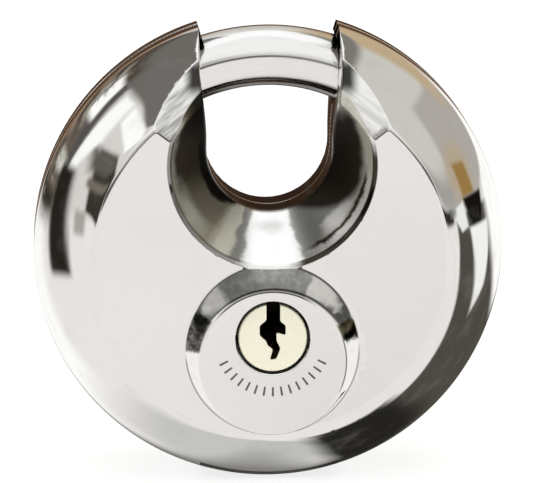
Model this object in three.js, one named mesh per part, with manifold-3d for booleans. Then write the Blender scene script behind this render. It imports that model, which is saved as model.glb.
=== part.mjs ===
// Disc padlock, 70 mm across. Millimetres, +Z up, front face towards -Y, +X to the right.
// Everything is laid out round the disc's own axis, which runs along Y. One outer group then
// lifts it so that the origin is the underside of the shackle's crown, where the lock hangs.

import * as THREE from 'three';
import { ConvexGeometry } from 'three/addons/geometries/ConvexGeometry.js';
import { mergeVertices } from 'three/addons/utils/BufferGeometryUtils.js';
import Module from 'manifold-3d';

const wasm = await Module();
wasm.setup();

// ---------- driving dimensions ----------

// Shell: R is a distance from the disc's axis, HALF a distance from its middle plane.
const DISC_R = 35;
const DISC_HALF = 13;
const FACE_R = 25.7;
const FACE_EDGE_R = 26.5;
const SHOULDER_R = 27.4;
const SHOULDER_HALF = 12.1;
const CREASE_R = 30;
const CREASE_HALF = 9.6;
const EQUATOR_HALF = 3;
const WALL = 1.5;
const SEAM_HALF = 0.5;
const WELD_HALF = 0.25;

// Throat: a U through the disc that flares towards its mouth, inside a conical dish on each face.
const THROAT_HALF = 9.3;
const THROAT_Z = 15.5;
const FLARE_FROM_Z = 18;
const FLARE_TO_Z = 28;
const MOUTH_HALF = 10.4;
const BAND_HALF = 5.3;
const DISH_R = 15.15;
const DISH_Z = 14.2;

// Cheeks: beside the mouth the face falls away from a horn at X, Z, by these slopes along X and Z.
const HORN_X = 16.6;
const HORN_Z = 19.4;
const CHEEK_SLOPE_X = 0.23;
const CHEEK_SLOPE_Z = 0.3;

// Lock boss, raised on the front face as a cone that is off centre.
const BOSS_FOOT_R = 12.9;
const BOSS_FOOT_Z = -13.3;
const BOSS_TOP_R = 11;
const BOSS_TOP_Z = -15;
const BOSS_HEIGHT = 1;
const GUARD_R = 9.2;
const GUARD_Z = -13.8;

// Shackle: a round rod bent round the disc's axis. Angles run anticlockwise from +X, seen from the front.
const ROD_R = 4.5;
const BEND_R = 28.7;
const TIP_DEG = 60;
const ROOT_DEG = 200;
const HOLE_R = 4.85;
const TRACK_R = 23.9;

// Plug and pins. The plug's axis runs along Y below the disc's axis.
const PLUG_R = 5.1;
const PLUG_Z = -11.3;
const PLUG_FRONT = -13.9;
const CASE_FRONT = -11.3;
const CASE_REAR = 2;
const BORE_GAP = 0.25;
const SHELL_HOLE_R = 5.475;
const NECK_R = 3;
const NECK_FLAT = 2.2;
const PIN_R = 0.95;
const CHAMBER_R = 1.15;
const PIN_PITCH = 2.45;
const FIRST_PIN_Y = -9.4;
const KEY_PIN_LENGTHS = [3.1, 2.4, 3.6, 2.8, 3.3];
const DRIVER_LENGTH = 2.5;
const SPRING_BOTTOM = -22.35;

// Drive: the plug's eccentric pin runs in a slot of the carrier plate, which turns with the shackle.
const CRANK_R = 5.14;
const CRANK_DEG = 150;
const CRANK_PIN_R = 1.8;
const SLOT_HALF = 2.85;
const SLOT_DEG = 243;
const SLOT_NEAR = 6;
const SLOT_FAR = 9.4;
const PLATE_EDGE = 2.7;
const PLATE_FRONT = 4.8;
const PLATE_REAR = 7;
const RIVET_BEND_R = 27;
const RIVET_DEGS = [178, 193];

// Screws and posts that hold the lock case on the rear shell, as X, Z.
const POSTS = [[14.1, -12.7], [19.8, -2.8], [-18.7, 7.6]];
const FLANGE_FRONT = -3;

const COMMON_GAP = 0.3;
const FAR = 60;

// ---------- materials ----------

const polishedSteel = { color: 0xdcdbd8, roughness: 0.08, metalness: 1 };
const plainSteel = { color: 0x9b9c9e, roughness: 0.35, metalness: 1 };
const darkSteel = { color: 0x4d4f52, roughness: 0.5, metalness: 1 };
const castZinc = { color: 0x8d9094, roughness: 0.6, metalness: 0.8 };
const paleBrass = { color: 0xe8dfb4, roughness: 0.25, metalness: 1 };
const springSteel = { color: 0xb9bcc0, roughness: 0.3, metalness: 1 };

// ---------- helpers: solids, cuts and meshes ----------

function solid(geometry) {
  const bare = geometry.clone();
  bare.deleteAttribute('normal');
  bare.deleteAttribute('uv');
  const merged = mergeVertices(bare, 1e-4);
  const vertProperties = new Float32Array(merged.attributes.position.array);
  const triVerts = new Uint32Array(merged.index.array);
  return new wasm.Manifold(new wasm.Mesh({ numProp: 3, vertProperties, triVerts }));
}

function geometryOf(body) {
  const mesh = body.getMesh();
  const geometry = new THREE.BufferGeometry();
  geometry.setAttribute('position', new THREE.BufferAttribute(mesh.vertProperties, 3));
  geometry.setIndex(new THREE.BufferAttribute(mesh.triVerts, 1));
  geometry.computeVertexNormals();
  return geometry;
}

function meshOf(name, body, look) {
  const mesh = new THREE.Mesh(geometryOf(body), new THREE.MeshStandardMaterial(look));
  mesh.name = name;
  return mesh;
}

function joined(bodies) {
  return bodies.reduce((whole, next) => whole.add(next));
}

// A direction in the XZ plane, from degrees anticlockwise from +X.
function polar(radius, degrees) {
  const angle = THREE.MathUtils.degToRad(degrees);
  return [radius * Math.cos(angle), radius * Math.sin(angle)];
}

// A cylinder along Y from front to rear.
function rodAlongY(radius, front, rear, x, z, sides = 24) {
  const geometry = new THREE.CylinderGeometry(radius, radius, rear - front, sides);
  geometry.translate(x, (front + rear) / 2, z);
  return solid(geometry);
}

// A cylinder along Z from bottom to top.
function rodAlongZ(radius, bottom, top, x, y, sides = 16) {
  const geometry = new THREE.CylinderGeometry(radius, radius, top - bottom, sides);
  geometry.rotateX(Math.PI / 2);
  geometry.translate(x, y, (bottom + top) / 2);
  return solid(geometry);
}

function block([x0, x1], [y0, y1], [z0, z1]) {
  const geometry = new THREE.BoxGeometry(x1 - x0, y1 - y0, z1 - z0);
  geometry.translate((x0 + x1) / 2, (y0 + y1) / 2, (z0 + z1) / 2);
  return solid(geometry);
}

// An outline drawn in X and Z, pushed along Y from front to rear.
function prism(outline, front, rear, curveSegments = 12) {
  const depth = rear - front;
  const geometry = new THREE.ExtrudeGeometry(outline, { depth, bevelEnabled: false, curveSegments });
  geometry.rotateX(Math.PI / 2);
  geometry.translate(0, rear, 0);
  return solid(geometry);
}

// A straight bar with round ends between two points of the XZ plane.
function bar([x0, z0], [x1, z1], radius, front, rear) {
  const along = Math.atan2(z1 - z0, x1 - x0);
  const outline = new THREE.Shape();
  outline.absarc(x1, z1, radius, along - Math.PI / 2, along + Math.PI / 2, false);
  outline.absarc(x0, z0, radius, along + Math.PI / 2, along + 1.5 * Math.PI, false);
  return prism(outline, front, rear, 14);
}

// ---------- the disc's outer form ----------

// The half profile of the disc, from the middle of its face out to the equator, as R and HALF.
function rimProfile() {
  const profile = new THREE.Path();
  profile.moveTo(0, DISC_HALF);
  profile.lineTo(FACE_R, DISC_HALF);
  profile.quadraticCurveTo(FACE_EDGE_R, DISC_HALF, SHOULDER_R, SHOULDER_HALF);
  profile.lineTo(CREASE_R, CREASE_HALF);
  profile.quadraticCurveTo(DISC_R, EQUATOR_HALF + 2.2, DISC_R, EQUATOR_HALF);
  return profile.getPoints(3);
}

// The same profile moved inwards by the wall's thickness.
function inset(points, depth) {
  return points.map((point, i) => {
    const before = points[Math.max(i - 1, 0)];
    const after = points[Math.min(i + 1, points.length - 1)];
    const along = after.clone().sub(before).normalize();
    return new THREE.Vector2(Math.max(point.x + along.y * depth, 0), point.y - along.x * depth);
  });
}

// The disc turned from a half profile and its mirror image.
function turned(half, sides = 60) {
  const front = half.map((point) => new THREE.Vector2(point.x, -point.y));
  const outline = [...front, ...half.slice().reverse()];
  return solid(new THREE.LatheGeometry(outline, sides));
}

// The dish on one face: a cone that starts round the throat's band and runs on past the face.
function dish(side, grow) {
  const run = 1.4;
  const outerR = THROAT_HALF + (DISH_R - THROAT_HALF) * run + grow;
  const outerZ = THROAT_Z + (DISH_Z - THROAT_Z) * run;
  const outerY = side * (BAND_HALF + (DISC_HALF - BAND_HALF) * run);
  const inner = ring(THROAT_HALF + grow, THROAT_Z, side * BAND_HALF, 60);
  return solid(new ConvexGeometry([...inner, ...ring(outerR, outerZ, outerY, 60)]));
}

// What the cheeks take off one face: all that lies beyond a plane on each side of the throat.
function cheeks(side, grow) {
  const planeY = (x, z) => {
    const fall = CHEEK_SLOPE_X * (Math.abs(x) - HORN_X) - CHEEK_SLOPE_Z * (z - HORN_Z);
    return side * (DISC_HALF + fall - grow);
  };
  const corners = [];
  [-FAR, 0, FAR].forEach((x) => {
    [FLARE_FROM_Z - FAR, DISC_R].forEach((z) => {
      corners.push(new THREE.Vector3(x, planeY(x, z), z), new THREE.Vector3(x, side * FAR, z));
    });
  });
  return solid(new ConvexGeometry(corners));
}

// The throat's U, straight at first, then flaring, then straight again at the mouth.
function throatSlot(grow, front = -FAR, rear = FAR) {
  const half = THROAT_HALF + grow;
  const mouth = MOUTH_HALF + grow;
  const outline = new THREE.Shape();
  outline.absarc(0, THROAT_Z, half, Math.PI, 2 * Math.PI, false);
  outline.lineTo(half, FLARE_FROM_Z);
  outline.lineTo(mouth, FLARE_TO_Z);
  outline.lineTo(mouth, FAR);
  outline.lineTo(-mouth, FAR);
  outline.lineTo(-mouth, FLARE_TO_Z);
  outline.lineTo(-half, FLARE_FROM_Z);
  return prism(outline, front, rear, 20);
}

function ring(radius, centreZ, y, sides = 44) {
  const points = [];
  for (let i = 0; i < sides; i += 1) {
    const [x, z] = polar(radius, (360 * i) / sides);
    points.push(new THREE.Vector3(x, y, z + centreZ));
  }
  return points;
}

function boss() {
  const root = ring(BOSS_FOOT_R, BOSS_FOOT_Z, -DISC_HALF + WALL / 2);
  const foot = ring(BOSS_FOOT_R, BOSS_FOOT_Z, -DISC_HALF);
  const top = ring(BOSS_TOP_R, BOSS_TOP_Z, -DISC_HALF - BOSS_HEIGHT);
  return solid(new ConvexGeometry([...root, ...foot, ...top]));
}

// The curve that the shackle's centre line follows.
class BendArc extends THREE.Curve {
  constructor(fromDeg, toDeg) {
    super();
    this.fromDeg = fromDeg;
    this.toDeg = toDeg;
  }

  getPoint(t) {
    const [x, z] = polar(BEND_R, this.fromDeg + (this.toDeg - this.fromDeg) * t);
    return new THREE.Vector3(x, 0, z);
  }
}

function roundSection(radius, sides) {
  const corners = Array.from({ length: sides }, (_, i) => polar(radius, (360 * i) / sides));
  return new THREE.Shape(corners.map(([x, y]) => new THREE.Vector2(x, y)));
}

function bentRod(radius, fromDeg, toDeg, sides, steps) {
  const extrudePath = new BendArc(fromDeg, toDeg);
  const options = { steps, extrudePath, bevelEnabled: false };
  return solid(new THREE.ExtrudeGeometry(roundSection(radius, sides), options));
}

// Both halves and their welds as one hollow body, before it is cut along the seam.
function hollowDisc() {
  const dishGrown = WALL * Math.hypot(1, (DISH_R - THROAT_HALF) / (DISC_HALF - BAND_HALF));
  const cheekGrown = WALL * Math.hypot(1, CHEEK_SLOPE_X, CHEEK_SLOPE_Z);
  const outer = turned(rimProfile()).add(boss());
  const cuts = joined([-1, 1].flatMap((side) => [dish(side, 0), cheeks(side, 0)]));
  const walls = joined([-1, 1].flatMap((side) => [dish(side, dishGrown), cheeks(side, cheekGrown)]));
  const cavity = turned(inset(rimProfile(), WALL)).subtract(walls).subtract(throatSlot(WALL));
  const holes = bentRod(HOLE_R, 45, 135, 18, 12);
  return outer.subtract(cuts).subtract(throatSlot(0)).subtract(cavity).subtract(holes);
}

function slab(front, rear) {
  return block([-FAR, FAR], [front, rear], [-FAR, FAR]);
}

function frontShell(disc) {
  const shell = disc.intersect(slab(-FAR, -SEAM_HALF));
  const pocket = rodAlongY(GUARD_R + COMMON_GAP, -DISC_HALF + 0.5, -DISC_HALF + WALL + 0.5, 0, GUARD_Z, 48);
  const plugHole = rodAlongY(SHELL_HOLE_R, -FAR, 0, 0, PLUG_Z, 48);
  return shell.subtract(pocket).subtract(plugHole);
}

// The weld fills the seam. The shackle's holes part it into a run round the rim and one in the throat.
function welds(disc) {
  const parts = disc.intersect(slab(-WELD_HALF, WELD_HALF)).decompose();
  const height = (part) => part.boundingBox().min[2];
  return parts.sort((a, b) => height(a) - height(b));
}

// ---------- inside the shells ----------

// A hardened U behind the throat wall. The shackle runs through it on both sides.
function throatGuard() {
  const inner = THROAT_HALF + WALL + 1.9;
  const thick = 1.6;
  const half = 5.9;
  const topZ = 31;
  const outline = new THREE.Shape();
  outline.absarc(0, THROAT_Z, inner + thick, Math.PI, 2 * Math.PI, false);
  outline.lineTo(inner + thick, THROAT_Z + 3);
  outline.lineTo(inner + thick, topZ - 2);
  outline.lineTo(inner, topZ);
  outline.lineTo(inner, THROAT_Z);
  outline.absarc(0, THROAT_Z, inner, 2 * Math.PI, Math.PI, true);
  outline.lineTo(-inner, topZ);
  outline.lineTo(-inner - thick, topZ - 2);
  const strip = prism(outline, -half, half, 20);
  const rim = turned(inset(rimProfile(), WALL + COMMON_GAP));
  return strip.intersect(rim).subtract(bentRod(HOLE_R, 45, 135, 18, 12));
}

function shackle() {
  const rod = bentRod(ROD_R, TIP_DEG, ROOT_DEG, 16, 24);
  const holes = RIVET_DEGS.map((degrees) => {
    const [x, z] = polar(RIVET_BEND_R, degrees);
    return rodAlongY(1.8, -2.6, FAR, x, z, 16);
  });
  return rod.subtract(joined(holes));
}

function carrierPlate() {
  const near = polar(SLOT_NEAR, SLOT_DEG);
  const far = polar(SLOT_FAR, SLOT_DEG);
  const rivets = RIVET_DEGS.map((degrees) => polar(RIVET_BEND_R, degrees));
  const middle = polar(RIVET_BEND_R - 1, (RIVET_DEGS[0] + RIVET_DEGS[1]) / 2);
  const plate = joined([
    bar(near, far, SLOT_HALF + PLATE_EDGE, PLATE_FRONT, PLATE_REAR),
    bar(middle, far, 3.6, PLATE_FRONT, PLATE_REAR),
    bar(rivets[0], rivets[1], 2.9, PLATE_FRONT, PLATE_REAR),
  ]);
  const slot = bar(near, far, SLOT_HALF, -FAR, FAR);
  const holes = rivets.map(([x, z]) => rodAlongY(1.8, -FAR, FAR, x, z, 16));
  return plate.subtract(joined([slot, ...holes]));
}

function carrierRivet(degrees) {
  const [x, z] = polar(RIVET_BEND_R, degrees);
  const shank = rodAlongY(1.5, -2.3, PLATE_REAR + 0.4, x, z, 16);
  return shank.add(rodAlongY(2, PLATE_REAR + 0.15, PLATE_REAR + 0.95, x, z, 20));
}

// The lock case: a casting with a round track for the shackle, a plug bore and five pin chambers.
function lockCase() {
  const topZ = 0.5;
  const track = rodAlongY(TRACK_R, CASE_FRONT, CASE_REAR, 0, 0, 72);
  const half = track.intersect(block([-FAR, FAR], [-FAR, FAR], [-FAR, topZ]));
  const [earX, earZ] = POSTS[2];
  const ear = bar([earX, earZ], [earX - 0.6, 0], 3, FLANGE_FRONT, CASE_REAR);
  const flare = dish(-1, WALL * 1.3 + COMMON_GAP);
  const plugBore = rodAlongY(PLUG_R + BORE_GAP, -FAR, FAR, 0, PLUG_Z, 40);
  const screwHoles = POSTS.map(([x, z]) => rodAlongY(1.6, -FAR, FAR, x, z, 16));
  const counterbores = POSTS.map(([x, z]) => rodAlongY(2.7, -FAR, FLANGE_FRONT, x, z, 20));
  const recess = block([-2.5, 2.5], [CASE_FRONT - 1, CASE_REAR - 0.5], [-FAR, SPRING_BOTTOM - 0.1]);
  const cuts = joined([flare, plugBore, recess, ...screwHoles, ...counterbores, ...chambers(PLUG_Z)]);
  return half.add(ear).subtract(cuts);
}

function pinY(index) {
  return FIRST_PIN_Y + PIN_PITCH * index;
}

function chambers(topZ) {
  return KEY_PIN_LENGTHS.map((_, i) => rodAlongZ(CHAMBER_R, -FAR, topZ, 0, pinY(i), 16));
}

function chamberCover() {
  const top = SPRING_BOTTOM - 0.15;
  return block([-2.2, 2.2], [CASE_FRONT + 0.3, CASE_REAR - 0.8], [top - 0.7, top]);
}

// The keyway, in X and Z from the plug's own centre: open at the top, with a ward on each side
// and a crooked foot below.
function keyway() {
  const points = [
    [-0.95, 6], [-0.95, 2.7], [-1.95, 1.9], [-1.95, 0.4], [-0.95, -0.5], [-0.8, -1.1],
    [0, -1.7], [-0.45, -3.3], [0.5, -3.2], [1.15, -1.6], [0.55, -0.4], [0.55, 0.8],
    [1.9, 0.4], [1.9, 1.9], [1.1, 2.5], [1.1, 6],
  ];
  const outline = new THREE.Shape(points.map(([x, z]) => new THREE.Vector2(x, z + PLUG_Z)));
  return prism(outline, -FAR, -0.2);
}

function plug() {
  const barrel = rodAlongY(PLUG_R, PLUG_FRONT, CASE_REAR, 0, PLUG_Z, 40);
  const neck = rodAlongY(NECK_R, CASE_REAR - 0.5, 4.2, 0, PLUG_Z, 24);
  const flats = block([-NECK_FLAT, NECK_FLAT], [2.8, FAR], [-FAR, FAR]).add(slab(-FAR, 2.8));
  const cuts = joined([keyway(), ...chambers(PLUG_Z + 0.7)]);
  return barrel.add(neck.intersect(flats)).subtract(cuts);
}

function plugClip() {
  const disc = rodAlongY(4.9, CASE_REAR + 0.15, CASE_REAR + 0.65, 0, PLUG_Z, 32);
  const bore = rodAlongY(NECK_R + 0.2, -FAR, FAR, 0, PLUG_Z, 24);
  const mouth = block([-2, 2], [-FAR, FAR], [PLUG_Z, FAR]);
  return disc.subtract(bore).subtract(mouth);
}

function plugDriver() {
  const [crankX, crankZ] = polar(CRANK_R, CRANK_DEG);
  const disc = rodAlongY(7.1, 2.9, 4.3, 0, PLUG_Z, 40);
  const hole = rodAlongY(NECK_R + 0.2, -FAR, FAR, 0, PLUG_Z, 24);
  const flats = block([-NECK_FLAT - 0.2, NECK_FLAT + 0.2], [-FAR, FAR], [-FAR, FAR]);
  const crank = rodAlongY(CRANK_PIN_R, 4, PLATE_REAR + 0.6, crankX, PLUG_Z + crankZ, 20);
  return disc.subtract(hole.intersect(flats)).add(crank);
}

function drillGuard() {
  const disc = rodAlongY(GUARD_R, -DISC_HALF + 0.65, -DISC_HALF + WALL - 0.15, 0, GUARD_Z, 48);
  return disc.subtract(rodAlongY(SHELL_HOLE_R + 0.1, -FAR, 0, 0, PLUG_Z, 40));
}

// A key pin with a cone on its upper end, its foot at the plug's lower surface.
function keyPin(length, index) {
  const profile = [[0, 0], [PIN_R, 0], [PIN_R, length - 0.6], [0.3, length], [0, length]];
  const geometry = new THREE.LatheGeometry(profile.map(([r, h]) => new THREE.Vector2(r, h)), 12);
  geometry.rotateX(Math.PI / 2);
  geometry.translate(0, pinY(index), PLUG_Z - PLUG_R + 0.05);
  return solid(geometry);
}

function driverPin(index) {
  const top = PLUG_Z - PLUG_R - BORE_GAP - 0.1;
  return rodAlongZ(PIN_R, top - DRIVER_LENGTH, top, 0, pinY(index), 12);
}

class SpringCoil extends THREE.Curve {
  constructor(radius, bottom, top, turns) {
    super();
    Object.assign(this, { radius, bottom, top, turns });
  }

  getPoint(t) {
    const angle = 2 * Math.PI * this.turns * t;
    const height = THREE.MathUtils.lerp(this.bottom, this.top, t);
    return new THREE.Vector3(this.radius * Math.cos(angle), this.radius * Math.sin(angle), height);
  }
}

function pinSpring(index) {
  const wireR = 0.15;
  const top = PLUG_Z - PLUG_R - BORE_GAP - 0.1 - DRIVER_LENGTH - 0.1 - wireR;
  const extrudePath = new SpringCoil(0.68, SPRING_BOTTOM + wireR, top, 4);
  const options = { steps: 32, extrudePath, bevelEnabled: false };
  const geometry = new THREE.ExtrudeGeometry(roundSection(wireR, 5), options);
  geometry.translate(0, pinY(index), 0);
  return solid(geometry);
}

function caseScrew([x, z]) {
  const head = rodAlongY(2.2, FLANGE_FRONT - 1.9, FLANGE_FRONT - 0.15, x, z, 20);
  const socket = rodAlongY(1.1, -FAR, FLANGE_FRONT - 1, x, z, 6);
  return head.add(rodAlongY(1.2, FLANGE_FRONT - 0.5, 8, x, z, 12)).subtract(socket);
}

function casePost([x, z]) {
  const post = rodAlongY(2.3, CASE_REAR + 0.15, DISC_HALF - WALL - 0.15, x, z, 20);
  return post.subtract(rodAlongY(1.5, -FAR, 8.5, x, z, 12));
}

// ---------- assembly ----------

const lock = new THREE.Group();
lock.position.z = -(BEND_R - ROD_R);

const disc = hollowDisc();
const [rimWeld, throatWeld] = welds(disc);
lock.add(
  meshOf('front_shell', frontShell(disc), polishedSteel),
  meshOf('rear_shell', disc.intersect(slab(SEAM_HALF, FAR)), polishedSteel),
  meshOf('rim_weld', rimWeld, plainSteel),
  meshOf('throat_weld', throatWeld, plainSteel),
  meshOf('throat_guard', throatGuard(), darkSteel),
  meshOf('shackle', shackle(), polishedSteel),
  meshOf('shackle_carrier', carrierPlate(), plainSteel),
  meshOf('lock_case', lockCase(), castZinc),
  meshOf('chamber_cover', chamberCover(), paleBrass),
  meshOf('plug', plug(), paleBrass),
  meshOf('plug_clip', plugClip(), springSteel),
  meshOf('plug_driver', plugDriver(), plainSteel),
  meshOf('drill_guard', drillGuard(), darkSteel),
);

RIVET_DEGS.forEach((degrees, i) => {
  lock.add(meshOf(`carrier_rivet_${i + 1}`, carrierRivet(degrees), plainSteel));
});

KEY_PIN_LENGTHS.forEach((length, i) => {
  lock.add(
    meshOf(`key_pin_${i + 1}`, keyPin(length, i), paleBrass),
    meshOf(`driver_pin_${i + 1}`, driverPin(i), plainSteel),
    meshOf(`pin_spring_${i + 1}`, pinSpring(i), springSteel),
  );
});

POSTS.forEach((place, i) => {
  lock.add(
    meshOf(`case_screw_${i + 1}`, caseScrew(place), plainSteel),
    meshOf(`case_post_${i + 1}`, casePost(place), plainSteel),
  );
});

const group = new THREE.Group();
group.add(lock);

export default group;
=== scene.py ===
import math

import bmesh
import bpy
import numpy as np
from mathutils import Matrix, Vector
from mathutils.geometry import delaunay_2d_cdt


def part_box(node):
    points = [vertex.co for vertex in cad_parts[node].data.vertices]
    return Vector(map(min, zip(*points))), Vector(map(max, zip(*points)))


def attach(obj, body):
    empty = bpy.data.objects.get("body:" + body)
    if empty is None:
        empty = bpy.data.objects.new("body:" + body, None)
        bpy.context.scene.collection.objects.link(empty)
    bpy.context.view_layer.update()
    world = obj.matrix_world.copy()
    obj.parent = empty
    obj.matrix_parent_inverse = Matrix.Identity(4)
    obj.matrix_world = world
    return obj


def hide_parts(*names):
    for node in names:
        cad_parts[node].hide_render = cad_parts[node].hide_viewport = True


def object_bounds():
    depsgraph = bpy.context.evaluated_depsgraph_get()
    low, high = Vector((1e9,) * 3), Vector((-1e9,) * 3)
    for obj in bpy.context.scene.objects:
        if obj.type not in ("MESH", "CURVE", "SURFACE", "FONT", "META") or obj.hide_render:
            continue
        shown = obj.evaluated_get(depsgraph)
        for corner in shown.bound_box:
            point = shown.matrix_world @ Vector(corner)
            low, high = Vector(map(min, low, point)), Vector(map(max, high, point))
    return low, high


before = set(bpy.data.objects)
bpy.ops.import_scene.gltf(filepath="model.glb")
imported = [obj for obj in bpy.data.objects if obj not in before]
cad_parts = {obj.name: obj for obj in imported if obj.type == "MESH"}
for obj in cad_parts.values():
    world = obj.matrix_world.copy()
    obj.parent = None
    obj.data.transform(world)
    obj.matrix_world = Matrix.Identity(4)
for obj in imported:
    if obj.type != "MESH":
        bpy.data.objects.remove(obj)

# The lock's shape is worked out in millimetres round the disc's own axis (X right, Z up, Y through
# the lock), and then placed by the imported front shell's box.

cad_lo, cad_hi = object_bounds()
shell_lo, shell_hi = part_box("front_shell")
DISC_R = 35.0
MM = (shell_hi.x - shell_lo.x) / 2 / DISC_R
AXIS_Z = shell_lo.z + DISC_R * MM

# --- dimensions, millimetres

WALL = 1.5
DISC_HALF = 13.0
# the shells' edge at the seam: its distance from the middle plane and its rounding
SEAM_HALF = 0.5
SEAM_R = 0.15
# the throat: its half width, the centre of its round bottom, how wide its mouth is, and the
# heights between which it widens
THROAT_HALF = 9.3
THROAT_Z = 15.5
THROAT = (THROAT_HALF, THROAT_Z)
MOUTH_HALF = 10.4
FLARE = (16.5, 29.0)
# the dish runs from the throat's plain wall, this far each side of the middle, to a lip on the face,
# whose radius and centre height follow
BAND_HALF = 5.3
DISH = (15.15, 14.2)
# each cheek is a plane that meets the face at the horn
HORN_X = 16.6
HORN_Z = 19.4
CHEEK_SLOPE_X = 0.23
CHEEK_SLOPE_Z = 0.3
# the boss: radius and centre height of its foot and of its top
BOSS_FOOT = (12.9, -13.3)
BOSS_TOP = (11.0, -15.0)
BOSS_HEIGHT = 1.0
PLUG_Z = -11.3
PLUG_R = 5.1
PLUG_HOLE_R = 5.475
# the shackle's bend, its rod, its hole in the throat's wall, and the roundings at the openings
BEND_R = 28.7
ROD_R = 4.5
HOLE_R = 4.85
LIP_R = 0.45
HOLE_LIP_R = 0.22
rng = np.random.default_rng(7)


def to_world(points):
    """Millimetres round the disc's axis to metres in the shared frame."""
    out = np.array(points, float) * MM
    out[:, 2] += AXIS_Z
    return out


# --- the disc's outer form as a height over its middle plane


def lengths_along(path):
    return np.concatenate([[0], np.cumsum(np.hypot(*np.diff(path, axis=0).T))])


def quad_curve(a, c, b, n):
    """Points on the curve from a to b that leaves and arrives in the direction of c."""
    t = np.linspace(0, 1, n + 1)[1:, None]
    a, c, b = np.array(a), np.array(c), np.array(b)
    return (1 - t) ** 2 * a + 2 * t * (1 - t) * c + t * t * b


def rim_profile():
    """The half profile of the disc from its middle out to the seam, as R and half thickness."""
    face_edge = (25.7, DISC_HALF)
    slope_top = (27.4, 12.2)
    slope_low = (30.0, 9.834)
    turn = np.radians(np.linspace(0, 90, 7)[1:])
    seam_r = DISC_R - SEAM_R * (1 - np.cos(turn))
    return np.concatenate([
        [(0, DISC_HALF), face_edge],
        quad_curve(face_edge, (26.42, DISC_HALF), slope_top, 40),
        quad_curve(slope_top, (28.7, 11.134), slope_low, 30),
        quad_curve(slope_low, (DISC_R, 4.834), (DISC_R, 3.0), 120),
        [(DISC_R, SEAM_HALF + SEAM_R)],
        np.stack([seam_r, SEAM_HALF + SEAM_R * (1 - np.sin(turn))], 1),
    ])


# EQUATOR is where the profile reaches the full radius, END is its edge at the seam, and a run is
# the length along it from the middle of the face
PROFILE = rim_profile()
LENGTHS = lengths_along(PROFILE)
EQUATOR_AT = int(np.argmax(PROFILE[:, 0] >= DISC_R - 1e-6))
RUN_EQUATOR = LENGTHS[EQUATOR_AT]
RUN_END = LENGTHS[-1]


def smooth_min(a, b, k):
    """The lesser of two heights, with a fillet where they meet."""
    h = np.clip(0.5 + 0.5 * (b - a) / k, 0, 1)
    return b * (1 - h) + a * h - k * h * (1 - h)


def smooth_step(x, lo, hi):
    t = np.clip((x - lo) / (hi - lo), 0, 1)
    return t * t * (3 - 2 * t)


def throat_width(z):
    return THROAT_HALF + (MOUTH_HALF - THROAT_HALF) * smooth_step(z, *FLARE)


def throat_gap(x, z):
    """How far a point is from the throat's wall, positive in the metal."""
    ax = np.abs(x)
    slope = (throat_width(z + 0.01) - throat_width(z - 0.01)) / 0.02
    beside = (ax - throat_width(z)) / np.hypot(1, slope)
    below = np.hypot(x, z - THROAT_Z) - THROAT_HALF
    return np.where(z > THROAT_Z, beside, below)


def circle_at(share, near, far):
    """The radius and centre Z of the circle at a share of the way from one to another."""
    return [a + (b - a) * share for a, b in zip(near, far)]


def cone_share(x, z, near, far):
    """The share of the way from one circle to another at which a point lies."""
    a, b, dz = far[0] - near[0], far[1] - near[1], z - near[1]
    qa = b * b - a * a
    qb = -2 * dz * b - 2 * near[0] * a
    qc = x * x + dz * dz - near[0] ** 2
    root = np.sqrt(np.maximum(qb * qb - 4 * qa * qc, 0))
    if a > 0:
        root = -root
    return (-qb + root) / (2 * qa)


def edge_drop(gap, radius):
    """How much a rounded edge of that radius falls at a distance from its brink."""
    g = np.clip(gap, 0, radius)
    return radius - np.sqrt(np.maximum(radius**2 - (radius - g) ** 2, 0))


def half_thickness(x, z, front, soft=1.0, lips=True):
    """The shell's outer surface. soft widens every fillet."""
    r = np.hypot(x, z)
    h = np.interp(r, PROFILE[: EQUATOR_AT + 1, 0], PROFILE[: EQUATOR_AT + 1, 1])
    if front:
        rise = np.clip(cone_share(x, z, BOSS_FOOT, BOSS_TOP), -40, 3)
        rise = smooth_min(rise, 1.0, 0.22)
        h = -smooth_min(-h, -(DISC_HALF + BOSS_HEIGHT * rise), 0.16 * soft)
    dish = BAND_HALF + (DISC_HALF - BAND_HALF) * cone_share(x, z, THROAT, DISH)
    cheek = DISC_HALF + CHEEK_SLOPE_X * (np.abs(x) - HORN_X) - CHEEK_SLOPE_Z * (z - HORN_Z)
    h = smooth_min(h, cheek, 0.22 * soft)
    h = smooth_min(h, dish, 0.5 * soft)
    if lips:
        lip = LIP_R * soft * (1 - smooth_step(r, 32.5, 34.9))
        gap = throat_gap(x, z)
        h = h - np.where(lip > 1e-4, edge_drop(gap, np.maximum(lip, 1e-4)), 0)
        if front:
            h = h - edge_drop(np.hypot(x, z - PLUG_Z) - PLUG_HOLE_R, HOLE_LIP_R * soft)
    return h


def surface_normals(x, z, front, soft=1.0):
    """Outward normals (X, away from the middle plane, Z) of the height surface."""
    e = 0.004
    r = np.hypot(x, z)
    pull = np.minimum(1, (DISC_R - 0.006) / np.maximum(r, 1e-9))
    x, z = x * pull, z * pull
    hx = (half_thickness(x + e, z, front, soft) - half_thickness(x - e, z, front, soft)) / (2 * e)
    hz = (half_thickness(x, z + e, front, soft) - half_thickness(x, z - e, front, soft)) / (2 * e)
    n = np.stack([-hx, np.ones_like(hx), -hz], 1)
    return n / np.linalg.norm(n, axis=1, keepdims=True)


# --- the throat's outline


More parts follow.
